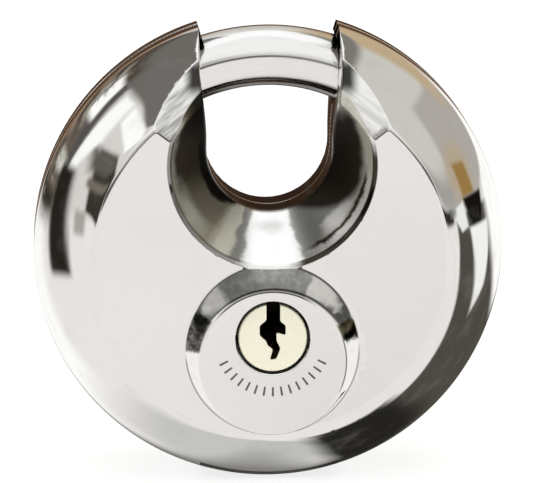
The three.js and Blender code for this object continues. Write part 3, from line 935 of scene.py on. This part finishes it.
def assign(obj, body, node):
    """Puts a piece under its body and hides the CAD node it replaces."""
    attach(obj, body)
    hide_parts(node)


# --- shells

assign(shell("shell_front", True), "body", "front_shell")
assign(shell("shell_rear", False), "body", "rear_shell")

# --- weld beads

BEAD_STEP = 0.14
RIPPLE_PITCH = 0.62
RIPPLE_HEIGHT = 0.035
# half of the bead's section: how far out of the metal, and how far from the seam's plane
BEAD_SECTION = [(-1.2, 0.45), (-0.22, 0.45), (-0.08, 0.36), (0.0, 0.18), (0.02, 0.0)]


def ring_faces(count, sides):
    """The faces of a closed solid whose points are a row of rings."""
    faces = []
    for i in range(count - 1):
        for k in range(sides):
            a, b = i * sides + k, i * sides + (k + 1) % sides
            faces.append([a, b, b + sides, a + sides])
    faces.append(list(range(sides)))
    faces.append(list(range((count - 1) * sides, count * sides))[::-1])
    return faces


def tidy_normals(obj, angle):
    """Turns every face outwards and flags edges sharper than an angle as sharp."""
    bm = bmesh.new()
    bm.from_mesh(obj.data)
    bmesh.ops.recalc_face_normals(bm, faces=bm.faces)
    for edge in bm.edges:
        edge.smooth = len(edge.link_faces) == 2 and edge.calc_face_angle(0) < math.radians(angle)
    for face in bm.faces:
        face.smooth = True
    bm.to_mesh(obj.data)
    bm.free()


def bead(name, path, out_of_metal, node):
    """A rippled weld along a path in the seam's plane."""
    run = lengths_along(path)
    count = int(run[-1] / BEAD_STEP)
    at = np.linspace(0, run[-1], count)
    px, pz = np.interp(at, run, path[:, 0]), np.interp(at, run, path[:, 1])
    nx, nz = np.interp(at, run, out_of_metal[:, 0]), np.interp(at, run, out_of_metal[:, 1])
    size = np.maximum(np.hypot(nx, nz), 1e-9)
    nx, nz = nx / size, nz / size
    ripple = RIPPLE_HEIGHT * np.abs(np.sin(math.pi * at / RIPPLE_PITCH)) - 0.05
    section = BEAD_SECTION + [(out, -y) for out, y in BEAD_SECTION[-2::-1]]
    rows = []
    for out, y in section:
        lift = out + (ripple if out > -0.2 else 0)
        rows.append(np.stack([px + nx * lift, np.full_like(px, y), pz + nz * lift], 1))
    points = np.stack(rows, 1).reshape(-1, 3)
    obj = build_mesh(name, points, ring_faces(count, len(section)), material=WELD)
    tidy_normals(obj, 50)
    assign(obj, "body", node)


rim_turn = np.radians(np.linspace(MOUTH_ANGLE, -180 - MOUTH_ANGLE, 500))
rim_way = np.stack([np.cos(rim_turn), np.sin(rim_turn)], 1)
bead("weld_rim", rim_way * DISC_R, rim_way, "rim_weld")

# the throat's bead lies between the two places where the shackle's hole ends
first_half = np.hypot(*OUTLINE[: len(OUTLINE) // 2].T)
below_hole = int(np.argmax(first_half < BEND_R - HOLE_R - 0.05))
throat = slice(below_hole, len(OUTLINE) - below_hole)
bead("weld_throat", OUTLINE[throat], OUTLINE_N[throat][:, ::2], "throat_weld")

# --- shackle

ROD_TIP = 60.0
ROD_ROOT = 200.0
ROD_CHAMFER = 0.9
ROOT_CHAMFER = 0.5
TIP_STEPS = 7
RIVET_REACH = 27.0
RIVET_ANGLES = (178, 193)
RIVET_HOLE_R = 1.8


def cut_away(target, cutters):
    for cutter in cutters:
        mod = target.modifiers.new("cut", "BOOLEAN")
        mod.operation = "DIFFERENCE"
        mod.solver = "EXACT"
        mod.object = cutter
    graph = bpy.context.evaluated_depsgraph_get()
    mesh = bpy.data.meshes.new_from_object(target.evaluated_get(graph))
    target.modifiers.clear()
    target.data = mesh
    for cutter in cutters:
        bpy.data.objects.remove(cutter)


def lathe(name, profile, x, z, sides, material=None):
    """A closed solid turned about an axis along Y through X, Z, from (radius, Y) pairs."""
    rows = []
    for r, y in profile:
        across, up = ring_points(r, sides, z).T
        rows.append(np.stack([x + across, np.full(sides, y), up], 1))
    faces = ring_faces(len(profile), sides)
    obj = build_mesh(name, np.concatenate(rows), faces, material=material)
    tidy_normals(obj, 40)
    return obj


def bent_rod():
    """The shackle: a bent rod with a rounded tip, and rivet holes at its root."""
    degree = math.radians(1) * BEND_R
    stations = []
    for k in range(TIP_STEPS, -1, -1):
        a = math.radians(90 * k / TIP_STEPS)
        shrink = ROD_CHAMFER * (1 - math.cos(a))
        stations.append((ROD_TIP + ROD_CHAMFER * (1 - math.sin(a)) / degree, ROD_R - shrink))
    plain_to = ROD_ROOT - ROOT_CHAMFER / degree
    for angle in np.linspace(ROD_TIP + ROD_CHAMFER / degree, plain_to, 220)[1:]:
        stations.append((angle, ROD_R))
    stations.append((ROD_ROOT, ROD_R - ROOT_CHAMFER))

    sides = 96
    points = []
    for angle, radius in stations:
        a = math.radians(angle)
        out, y = ring_points(radius, sides).T
        out = out + BEND_R
        points.append(np.stack([out * math.cos(a), y, out * math.sin(a)], 1))
    faces = ring_faces(len(stations), sides)
    obj = build_mesh("shackle_rod", np.concatenate(points), faces, material=ROD)
    tidy_normals(obj, 40)
    cutters = []
    for angle in RIVET_ANGLES:
        a = math.radians(angle)
        x, z = RIVET_REACH * math.cos(a), RIVET_REACH * math.sin(a)
        cutters.append(lathe("cut", [(RIVET_HOLE_R, -2.6), (RIVET_HOLE_R, 8)], x, z, 48))
    cut_away(obj, cutters)
    tidy_normals(obj, 40)
    return obj


assign(bent_rod(), "shackle_body", "shackle")

# --- plug

PLUG_FACE_Y = -13.9
PLUG_BACK_Y = 2.0
NECK_R = 3.0
NECK_END_Y = 4.2
NECK_FLAT_HALF = 2.2
# the worn front edge: radius and depth behind the face
PLUG_EDGE = [(4.78, 0.0), (4.9, 0.03), (5.0, 0.1), (5.06, 0.2), (PLUG_R, 0.34)]
CHAMBERS = 5
CHAMBER_R = 1.15
CHAMBER_FIRST_Y = -9.4
CHAMBER_PITCH = 2.45
CHAMBER_TOP = 0.7
# the crooked keyway round the plug's axis, from its open top on the left and back to its right
KEYWAY = [
    (-0.95, 6), (-0.95, 2.7), (-1.95, 1.9), (-1.95, 0.4), (-0.95, -0.5), (-0.8, -1.1), (0, -1.7),
    (-0.45, -3.3), (0.5, -3.2), (1.15, -1.6), (0.55, -0.4), (0.55, 0.8), (1.9, 0.4), (1.9, 1.9),
    (1.1, 2.5), (1.1, 6),
]


def cutter(low, high):
    """A closed solid between two rings of points, to be cut away."""
    obj = build_mesh("cut", np.array(low + high), ring_faces(2, len(low)))
    tidy_normals(obj, 30)
    return obj


def prism(outline, y0, y1):
    """A cutter along Y with an outline of X, Z pairs."""
    return cutter([(x, y0, z) for x, z in outline], [(x, y1, z) for x, z in outline])


def rounded_outline(corners, radius):
    pts = [np.array(c, float) for c in corners]
    out = []
    for i, p in enumerate(pts):
        before, after = pts[i - 1] - p, pts[(i + 1) % len(pts)] - p
        la, lb = np.linalg.norm(before), np.linalg.norm(after)
        r = min(radius, la * 0.42, lb * 0.42)
        start, end = p + before / la * r, p + after / lb * r
        out += [start, *quad_curve(start, p, end, 4)]
    return out


def lock_plug():
    """The brass plug: keyway and pin chambers in the barrel, two flats on the neck behind it."""
    profile = [(r, PLUG_FACE_Y + back) for r, back in PLUG_EDGE]
    profile += [(PLUG_R, PLUG_BACK_Y), (NECK_R, PLUG_BACK_Y), (NECK_R, NECK_END_Y)]
    obj = lathe("plug_barrel", profile, 0, PLUG_Z, 128, BRASS)
    keyway = [(x, z + PLUG_Z) for x, z in rounded_outline(KEYWAY, 0.3)]
    cutters = [prism(keyway, -20, -0.2)]
    for i in range(CHAMBERS):
        ring = ring_points(CHAMBER_R, 24, CHAMBER_FIRST_Y + CHAMBER_PITCH * i)
        low = [(x, y, -20.0) for x, y in ring]
        high = [(x, y, PLUG_Z + CHAMBER_TOP) for x, y in ring]
        cutters.append(cutter(low, high))
    for side in (-1, 1):
        near, far = side * NECK_FLAT_HALF, side * 6
        low, high = PLUG_Z - 6, PLUG_Z + 6
        cutters.append(prism([(near, low), (far, low), (far, high), (near, high)], 2.8, 8))
    cut_away(obj, cutters)
    tidy_normals(obj, 30)
    return obj


assign(lock_plug(), "plug_body", "plug")

# --- studio


def studio_floor(size, z):
    """A nearly white glowing floor that the steel doesn't show."""
    mat, n, inputs, _ = new_metal("studio_floor", 0)
    looks = {"Base Color": (0.3, 0.3, 0.3, 1), "Roughness": 0.9, "Specular IOR Level": 0,
             "Emission Color": WHITE, "Emission Strength": 0.8}
    for key, value in looks.items():
        n.feed(inputs[key], value)
    mesh = bpy.data.meshes.new("floor")
    s = size / 2
    mesh.from_pydata([(-s, -s, z), (s, -s, z), (s, s, z), (-s, s, z)], [], [(0, 1, 2, 3)])
    mesh.materials.append(mat)
    obj = add_object("floor", mesh)
    obj.visible_glossy = False


studio_floor(8.0, cad_lo.z)

world = bpy.data.worlds.new("studio")
bpy.context.scene.world = world
world.use_nodes = True
world.cycles.sampling_method = "NONE"
w = Nodes(world.node_tree)
direction = w.add("TexCoord").outputs["Generated"]
sky_x, sky_y, sky_z = w.split(direction)
azimuth = w.bearing(sky_x, -sky_y)
elevation = w.math("DEGREES", w.math("ARCSINE", sky_z))
aim = w.vector(azimuth, elevation, 1.0)

# Soft boxes and flags round the lock, laid over each other in order. Directions are degrees
# of azimuth from the camera's side, positive to the right, and of elevation. An "O" is an ellipse
# and a "B" a box: middle, half size, the softness of the edge as a share of the size, and any tilt.
# A "P" is a straight-edged outline, anticlockwise, after its softness in degrees. Then come the
# colour and, on a card that is only partly there, its share.
CARDS = [
    ("B", (0, 50, 400, 48, 0.05), (212, 210, 206)),
    ("B", (0, 78, 400, 14, 0.3), (255, 255, 255)),
    ("B", (0, 52, 40, 34, 0.25), (241, 241, 240)),
    ("B", (0, 3.8, 44, 3.8, 0.6), (66, 66, 65), 0.95),
    ("B", (-155, -22, 48, 24, 0.3), (252, 252, 250)),
    ("B", (-150, -76, 52, 18, 0.5), (196, 196, 194)),
    ("B", (160, -80, 40, 16, 0.4), (190, 190, 188)),
    ("O", (180, -46, 26, 26, 0.5), (128, 127, 124)),
    ("O", (180, -24, 16, 13, 0.4), (28, 27, 25)),
    # the right side
    ("B", (80, 31, 38, 29, 0.12), (200, 199, 192)),
    ("B", (72, 7, 24, 6, 0.9), (160, 158, 153)),
    ("P", (1, [(82, 0), (85.5, -10), (91, -35), (94, -50), (98, -61), (106, -71), (118, -74), (130, -69.5),
     (145, -62), (163, -45), (174, -18), (103, 1)]), (76, 73, 66)),
    ("P", (5, [(90, -50), (104, -78), (130, -74), (145, -66), (164, -48), (170, -34), (150, -40)]),
     (36, 35, 31)),
    ("O", (131, 1, 28, 23, 0.12), (254, 254, 252)),
    ("P", (1.5, [(99, 4), (115, 12), (127, 21), (127, 36), (86, 36), (86, 4)]), (172, 168, 162)),
    ("B", (134, 44, 28, 17, 0.35), (190, 170, 138)),
    ("B", (108, 62, 42, 4, 0.5), (122, 120, 114)),
    ("O", (91.5, 12, 6, 8, 0.6), (178, 162, 136), 0.9),
    ("P", (0.9, [(91, 4.5), (96.5, 4.5), (95, 13.5), (89.5, 15)]), (150, 120, 68)),
    ("P", (0.7, [(91.5, 2), (95, -4.2), (99, -4), (100.5, 4.3), (90.8, 4.3)]), (18, 16, 14)),
    ("P", (0.7, [(84, -1), (88, -5), (92.5, -4), (90.3, 3.5), (83, 2)]), (234, 235, 232)),
    ("P", (0.8, [(99, -18), (103, -27.5), (105.5, -20), (103, -4), (93, -4.5)]), (240, 240, 238)),
    ("B", (59, -1.5, 22, 2.2, 0.5, 5), (40, 39, 37)),
    ("B", (79, 1, 6, 1.2, 0.7, 5), (120, 118, 112), 0.8),
    # the left side
    ("B", (-108, 58, 44, 13, 0.15), (106, 104, 99)),
    ("B", (-125, 46, 30, 6, 0.8), (74, 64, 56)),
    ("B", (-125, 21, 29, 23, 0.2), (98, 88, 78)),
    ("B", (-138, 37, 17, 2.6, 0.8), (44, 37, 30)),
    ("B", (-136, 19, 15, 3.5, 0.8), (124, 98, 84)),
    ("P", (1.5, [(-98, 60), (-98, 42), (-62, 37), (-30, 19), (-42, 32), (-60, 58), (-78, 62)]),
     (108, 106, 102)),
    ("P", (2, [(-100, 10), (-92, 10), (-89, 46), (-98, 46)]), (82, 80, 78)),
    ("B", (-112, 36, 9, 6, 1), (206, 206, 194), 0.7),
    ("B", (-103, 37, 7.5, 7.5, 0.25), (254, 254, 252)),
    ("O", (-107, 14, 9, 3, 0.6), (206, 204, 196)),
    ("P", (1.2, [(-90, 6), (-80, 4), (-78, -17), (-62, -9), (-47, -3), (-44, 12), (-70, 25), (-86, 25)]),
     (54, 50, 44)),
    ("P", (2.5, [(-84, 17), (-60, 18), (-70, 25), (-86, 25)]), (92, 89, 83)),
    ("B", (-68, 12, 15, 1.6, 0.8, -6), (112, 106, 96)),
    ("P", (1.2, [(-82, 26), (-70, 26), (-44, 13), (-36, 8), (-28, 18), (-60, 37), (-78, 42.5), (-79, 42)]),
     (253, 253, 251)),
    ("P", (0.9, [(-94.5, 13), (-91, 13), (-83.5, 27), (-79.8, 43), (-86, 43)]), (250, 251, 250)),
    ("B", (-94, -1, 5.2, 16, 0.12), (36, 32, 27)),
    ("B", (-82.5, 0, 3.4, 3.8, 0.4), (166, 164, 158)),
    ("B", (-122, 2.8, 22, 2.2, 0.7), (48, 45, 40)),
    # the camera's side and the far side
    ("O", (-16, 12, 14, 7, 0.4), (162, 161, 158), 0.9),
    ("O", (180, 14, 34, 26, 0.3), (158, 128, 98)),
    ("O", (180, 36, 13, 14, 0.4), (196, 194, 186)),
    ("O", (180, 0, 17, 24, 0.3), (76, 56, 42)),
]


def outline_mask(corners, soft):
    """How far inside a straight-edged outline a direction is, from 0 to 1 over the softness."""
    least = 999.0
    for a, b in zip(corners, corners[1:] + corners[:1]):
        length = math.hypot(b[0] - a[0], b[1] - a[1])
        nx, ny = -(b[1] - a[1]) / length, (b[0] - a[0]) / length
        depth = w.add("VectorMath")
        depth.operation = "DOT_PRODUCT"
        w.feed(depth.inputs[0], aim)
        w.feed(depth.inputs[1], (nx, ny, -(nx * a[0] + ny * a[1])))
        least = w.math("MINIMUM", least, depth.outputs["Value"])
    return w.ramp(least, -soft, soft)


def round_mask(kind, az, el, half_az, half_el, soft, tilt=0):
    """How far inside a box or an ellipse of directions one is. A box over 300 wide goes all round."""
    u = w.math("WRAP", azimuth, az + 180, az - 180) - az
    v = elevation - el
    if tilt:
        c, s = math.cos(math.radians(tilt)), math.sin(math.radians(tilt))
        u, v = u * c + v * s, v * c - u * s
    u = abs(u / half_az)
    v = abs(v / half_el)
    if kind == "O":
        return w.ramp(w.hypot(u, v), 1 + soft, 1 - soft)
    high = w.ramp(v, 1 + soft, 1 - soft)
    if half_az > 300:
        return high
    side = min(soft * half_el / half_az, 0.5)
    return w.ramp(u, 1 + side, 1 - side) * high


tone = colour(230, 228, 226)
for kind, form, rgb, *share in CARDS:
    mask = outline_mask(form[1], form[0]) if kind == "P" else round_mask(kind, *form)
    for part in share:
        mask = mask * part
    tone = w.mix(mask, tone, colour(*rgb))
mottle = w.noise(direction, 7, 4, 0.6)
tone = w.mix(w.ramp(mottle, 0.5, 0.75, 0, 0.16), tone, colour(150, 148, 144))

# fine streaks along the left rim
streak = w.noise(w.vector(azimuth * 0.05, elevation * 0.22, 0), 1, 4, 0.65)
clutter = round_mask("B", -130, 24, 24, 24, 0.4)
tone = w.mix(w.ramp(streak, 0.5, 0.68, 0, 0.55) * clutter, tone, colour(184, 180, 168))
tone = w.mix(w.ramp(streak, 0.5, 0.34, 0, 0.8) * clutter, tone, colour(26, 22, 16))

# the camera sees near-white, and all else sees the cards
seen = w.add("Background", Color=(0.97, 0.97, 0.97, 1), Strength=1)
around = w.add("Background", Color=tone, Strength=1.12)
either = w.add("MixShader")
w.feed(either.inputs[0], w.add("LightPath").outputs["Is Camera Ray"])
w.feed(either.inputs[1], around.outputs[0])
w.feed(either.inputs[2], seen.outputs[0])
w.add("OutputWorld", Surface=either.outputs[0])

sun_data = bpy.data.lights.new("overhead", "SUN")
sun_data.energy = 1.1
sun_data.angle = math.radians(70)
sun = add_object("overhead", sun_data)
sun.rotation_euler = (math.radians(8), math.radians(-6), 0)
sun.visible_glossy = False

# --- camera

# degrees, metres, and for the lens the width of the picture at the disc
AZIMUTH, ELEVATION = -3.3, 12.0
DISTANCE = 0.6
PICTURE_WIDTH = 0.08003
AIM_RIGHT, AIM_UP = -0.000135, 0.0003
SENSOR = 36.0

az, el = math.radians(AZIMUTH), math.radians(ELEVATION)
back = Vector((math.sin(az) * math.cos(el), -math.cos(az) * math.cos(el), math.sin(el)))
right = Vector((math.cos(az), math.sin(az), 0))
cam_data = bpy.data.cameras.new("camera")
cam_data.sensor_width = SENSOR
cam_data.lens = SENSOR * DISTANCE / PICTURE_WIDTH
cam_data.clip_start = 0.01
cam_data.clip_end = 20
cam = add_object("camera", cam_data)
middle = Vector((0, 0, AXIS_Z)) + right * AIM_RIGHT + back.cross(right) * AIM_UP
cam.location = middle + back * DISTANCE
cam.rotation_mode = "QUATERNION"
cam.rotation_quaternion = (-back).to_track_quat("-Z", "Y")
bpy.context.scene.camera = cam
bpy.context.scene.view_settings.view_transform = "Standard"
